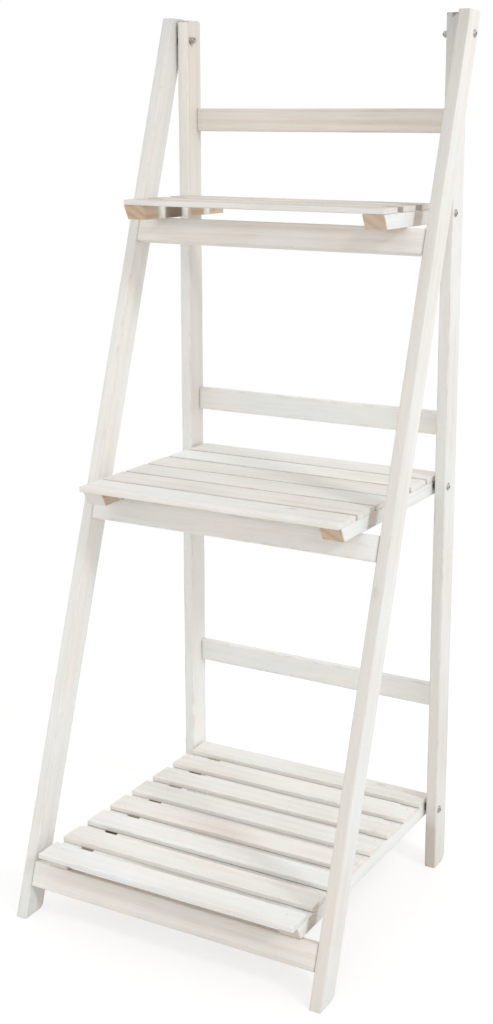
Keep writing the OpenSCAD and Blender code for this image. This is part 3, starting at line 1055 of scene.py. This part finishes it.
def slat_finish(shelf, number, top_shade_bare):
    """A slat has less wash on its underside, and painted shade as less wash beside the stiles and,
    if asked for, on top.
    """
    middle_y = shelf.slat_front(number) + shelf.slat_width / 2

    def film(at):
        below = SLAT_UNDERSIDE_BARE * fade(SLAT_THICKNESS / 2 + at.t, 0, SKIN)
        # Painted shadow of the stile on the slat's end, as less wash
        beside = stile_shadow(middle_y + at.w, shelf.level - SLAT_THICKNESS / 2 + at.t)
        shadow_strip = SHADOW_STRIP_BARE * (near_cut(at) < END_EASING) * beside
        return np.maximum.reduce([below, top_shade_bare * upper_face(at), shadow_strip, cut_ends(at)])

    return film


def gap_shade(strength, reach):
    """Painted shade on the front edge of a slat, seen down the gap before it, as far in from its
    ends as the reach says.
    """
    def film(at):
        within = np.clip((reach - near_cut(at)) / GAP_SHADE_FADE, 0, 1)
        return strength * within * front_edge(at)

    return film


def shadow_line(first, last):
    """Painted shadow: a dark line along the lower front edge of a slat for the shade under it,
    changing from its left to its right.
    """
    along = graded(first, last)

    def film(at):
        low = fade(SLAT_THICKNESS / 2 + at.t, LINE_HEIGHT - LINE_FADE, LINE_HEIGHT)
        return along(at) * low * front_edge(at)

    return film


def top_shade(strength):
    """Painted shade: a film of grey on the upper face of a slat."""
    return lambda at: strength * upper_face(at)


# Painted shade in the gaps: top shelf over the runners, middle shelf all along, bottom shelf a thin
# line at the lower edge
GAP_SHADE = {
    "top": gap_shade(0.65, RUNNER_WIDTH),
    "middle": gap_shade(0.27, math.inf),
    "bottom": shadow_line(0.15, 0.45),
}


def slat(shelf, number, top_shade_bare=0.0, stain=graded(0), **looks):
    """A flat slat across both runners."""
    if number > 1:
        stain = strongest(stain, GAP_SHADE[shelf.name])
    y = shelf.slat_front(number) + shelf.slat_width / 2 - DEPTH / 2
    z = shelf.level - SLAT_THICKNESS / 2
    lie = ((0, y, z), (1, 0, 0), (0, 1, 0), (0, 0, 1))
    board(
        f"{shelf.name}_slat_{number}", shelf.body, lie, shelf.slat_width / 2, SLAT_THICKNESS / 2,
        flat_end(-SHELF_END), flat_end(SHELF_END), radius=SLAT_EDGE_RADIUS,
        thin_steps=SLAT_THIN_STEPS, stain=stain, bare=slat_finish(shelf, number, top_shade_bare),
        **looks,
    )


# The front slats of each shelf, whose wash is thinner, warmer or greyer than the others'; the grey
# on their tops and lower edges, and the thin wash on the top shelf's tops, is painted shade
SHADED_TOPS = {"stain": strongest(graded(0.07), top_shade(0.26)), "top_shade_bare": 0.35}
SPECIAL_SLATS = {
    "top": [
        {**SHADED_TOPS, "tint": 0.0, "thin": (0.0, 0.1)},
        {**SHADED_TOPS, "tint": 0.3, "thin": (0.1, 0.2)},
        {**SHADED_TOPS, "tint": 0.3, "thin": (0.1, 0.2)},
    ],
    "middle": [
        {"tint": 0.0, "thin": (0.0, 0.1), "stain": top_shade(0.09)},
        {"tint": 0.3, "thin": (0.1, 0.15), "stain": top_shade(0.14)},
        {"tint": 0.0, "thin": (0.0, 0.1), "stain": top_shade(0.13)},
        {"tint": -0.1, "thin": (0.05, 0.1), "stain": top_shade(0.1)},
    ],
    "bottom": [
        {"tint": -0.5, "thin": (-0.05, 0.05)},
        {"tint": 0.3, "thin": (0.05, 0.15), "stain": shadow_line(0.1, 0.6)},
        {"tint": -0.5, "thin": (-0.05, 0.05), "stain": shadow_line(0.5, 0.95)},
        {"tint": 0.9, "thin": (0.22, 0.13), "stain": shadow_line(0.45, 0.6)},
        {"tint": -0.2, "thin": (0.05, 0.1)},
    ],
}


def build_shelves():
    """Runners and slats of the three shelves."""
    for shelf in SHELVES:
        for side, label in SIDES:
            runner(shelf, side, label)
        special = SPECIAL_SLATS[shelf.name]
        for number in range(1, shelf.slats + 1):
            looks = special[number - 1] if number <= len(special) else {}
            slat(shelf, number, **looks)


# ---- Hardware and dowels, carried over from the solids ----


def dress(nodes, material):
    """Gives solids that stay as they are their material."""
    for node in nodes:
        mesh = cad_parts[node].data
        mesh.materials.clear()
        mesh.materials.append(material)


def dress_hardware():
    """Steel for the bolts and what is on them, wash for the brads, beech for the dowels."""
    zinc = steel_material("dull zinc plating", ZINC_TONES, ZINC_ROUGHNESS)
    blackened = steel_material("darkened spacer steel", SPACER_TONES, SPACER_ROUGHNESS)
    screw = steel_material("zinc-plated screw", ZINC_TONES, ZINC_ROUGHNESS, threaded=True)
    dress(["top_bolts", "shelf_bolts"], screw)
    dress(["washers", "nuts"], zinc)
    dress(["frame_spacers", "shelf_spacers"], blackened)
    dress([f"{shelf.name}_brads" for shelf in SHELVES], painted_brad_material())
    dress(["front_dowels", "rear_dowels"], dowel_material())


# ---- Studio: lengths in metres, angles in degrees ----

FLOOR_HALF = 5.0
FLOOR_TONES = (colour(221, 220, 218), colour(227, 226, 225))
# Where the zone of deeper shade under the stand begins, is full, begins to fade and is gone
SHADE_EDGES = {"X": (-0.33, -0.22, 0.0, 0.2), "Y": (-0.14, 0.04, 0.22, 0.48)}
# How much light the floor seems to give back at the front and the rear of that zone and
# outside it, where the rear begins and is full, and its glow inside and outside
SHADE_FRONT = (0.88, 0.86, 0.84, 1)
SHADE_REAR = (0.7, 0.68, 0.66, 1)
SHADE_OUTSIDE = (0.36, 0.36, 0.36, 1)
REAR_SHADE = (0.08, 0.3)
GLOW = (0.08, 0.66)
# The distances between which the floor turns plain white
WHITE_REACH = (0.7, 1.6)
# Strength and colour of the even light, and of the lamp and where that shines from
AMBIENT = 0.97
AMBIENT_COLOUR = (1.0, 0.994, 0.982, 1)
KEY_FROM = (0.80, -0.25, 0.58)
KEY_STRENGTH = 0.75
KEY_SPREAD = 10.0
KEY_COLOUR = (0.92, 0.97, 1.0)
CAMERA_PLACE = (0.8857, -1.5567, 0.9788)
CAMERA_YAW = 28.885
CAMERA_PITCH = 11.878
CAMERA_ROLL = 0.35
CAMERA_CLIP = 50.0
# Lens and sensor in millimetres, and the shift of the picture in widths of the sensor
CAMERA_LENS = 52.386
CAMERA_SENSOR = 36.0
CAMERA_SHIFT = (-0.01846, -0.0718)


def shade_zone(tree, axes):
    """One inside the zone of deeper shade under the stand, nought outside it."""
    within = 1.0
    for axis, (begin, full, fading, gone) in SHADE_EDGES.items():
        rising = ramped(tree, axes[axis], begin, full)
        falling = ramped(tree, axes[axis], fading, gone, 1.0, 0.0)
        within = times(tree, within, rising, falling)
    return within


def floor_seen(tree, where):
    """The floor as the camera sees it: shade that ends in a plain white glow."""
    axes = place(tree, "ShaderNodeSeparateXYZ", {"Vector": where}).outputs
    outside = maths(tree, "SUBTRACT", 1.0, shade_zone(tree, axes))
    dark = blended(tree, ramped(tree, axes["Y"], *REAR_SHADE), SHADE_FRONT, SHADE_REAR)
    shade = blended(tree, outside, dark, SHADE_OUTSIDE)
    faint = place(tree, "ShaderNodeBsdfDiffuse", {"Color": shade}).outputs[0]
    strength = ramped(tree, outside, 0.0, 1.0, *GLOW)
    glow = place(tree, "ShaderNodeEmission", {"Strength": strength}).outputs[0]
    near = place(tree, "ShaderNodeAddShader", {0: faint, 1: glow}).outputs[0]
    white = place(tree, "ShaderNodeEmission").outputs[0]
    distance = place(
        tree, "ShaderNodeVectorMath", {0: where}, operation="LENGTH"
    ).outputs["Value"]
    far = ramped(tree, distance, *WHITE_REACH)
    return place(tree, "ShaderNodeMixShader", {0: far, 1: near, 2: white}).outputs[0]


def floor_material():
    """Pale floor that the camera sees as white, with the object's soft shadow on it."""
    made, tree = new_material("pale studio floor")
    tree.nodes.clear()
    where = object_place(tree)
    pale = blended(tree, noise(tree, where, 40.0, 3.0), *FLOOR_TONES)
    plain = place(tree, "ShaderNodeBsdfDiffuse", {"Color": pale}).outputs[0]
    from_camera = place(tree, "ShaderNodeLightPath").outputs["Is Camera Ray"]
    shown = place(
        tree, "ShaderNodeMixShader", {0: from_camera, 1: plain, 2: floor_seen(tree, where)}
    ).outputs[0]
    place(tree, "ShaderNodeOutputMaterial", {"Surface": shown})
    return made


def build_floor():
    """One large square at the level of the feet."""
    corners = np.array([[-1, -1, 0], [1, -1, 0], [1, 1, 0], [-1, 1, 0]]) * FLOOR_HALF
    mesh = bpy.data.meshes.new("studio_floor")
    mesh.from_pydata(corners.tolist(), [], [(0, 1, 2, 3)])
    mesh.materials.append(floor_material())
    new_object("studio_floor", mesh)


def build_world():
    """Even light from all round, seen as white by the camera, in metal and through glass."""
    world = bpy.data.worlds.new("studio light")
    world.use_nodes = True
    tree = world.node_tree
    tree.nodes.clear()
    rays = place(tree, "ShaderNodeLightPath").outputs
    seen = total(tree, rays["Is Camera Ray"], rays["Is Glossy Ray"])
    seen = maths(tree, "ADD", seen, rays["Is Transmission Ray"], clamp=True)
    ambient = {"Color": AMBIENT_COLOUR, "Strength": AMBIENT}
    light = place(tree, "ShaderNodeBackground", ambient).outputs[0]
    white = place(tree, "ShaderNodeBackground", {"Color": (1, 1, 1, 1), "Strength": 1.0}).outputs[0]
    mixed = place(tree, "ShaderNodeMixShader", {0: seen, 1: light, 2: white}).outputs[0]
    place(tree, "ShaderNodeOutputWorld", {"Surface": mixed})
    bpy.context.scene.world = world


def build_key_light():
    """One lamp from the right and above, wide enough for soft-edged shadows."""
    lamp = bpy.data.lights.new("key", "SUN")
    lamp.energy = KEY_STRENGTH
    lamp.angle = math.radians(KEY_SPREAD)
    lamp.color = KEY_COLOUR
    turn = Vector(KEY_FROM).to_track_quat("Z", "Y").to_matrix()
    new_object("key", lamp).matrix_world = turn.to_4x4()


def build_camera():
    """The photograph's view: turned by the yaw about Z, tipped down by the pitch, then rolled."""
    yaw, pitch, roll = (math.radians(a) for a in (CAMERA_YAW, CAMERA_PITCH, CAMERA_ROLL))
    turn = Matrix.Rotation(yaw, 4, "Z") @ Matrix.Rotation(math.pi / 2 - pitch, 4, "X")
    turn = Matrix.Translation(CAMERA_PLACE) @ turn @ Matrix.Rotation(roll, 4, "Z")
    data = bpy.data.cameras.new("camera")
    data.lens = CAMERA_LENS
    data.sensor_width = CAMERA_SENSOR
    data.shift_x, data.shift_y = CAMERA_SHIFT
    data.clip_end = CAMERA_CLIP
    camera = new_object("camera", data)
    camera.matrix_world = turn
    bpy.context.scene.camera = camera


build_camera()
build_front_frame()
build_rear_frame()
build_shelves()
dress_hardware()
build_floor()
build_world()
build_key_light()
bpy.context.scene.view_settings.view_transform = "Standard"
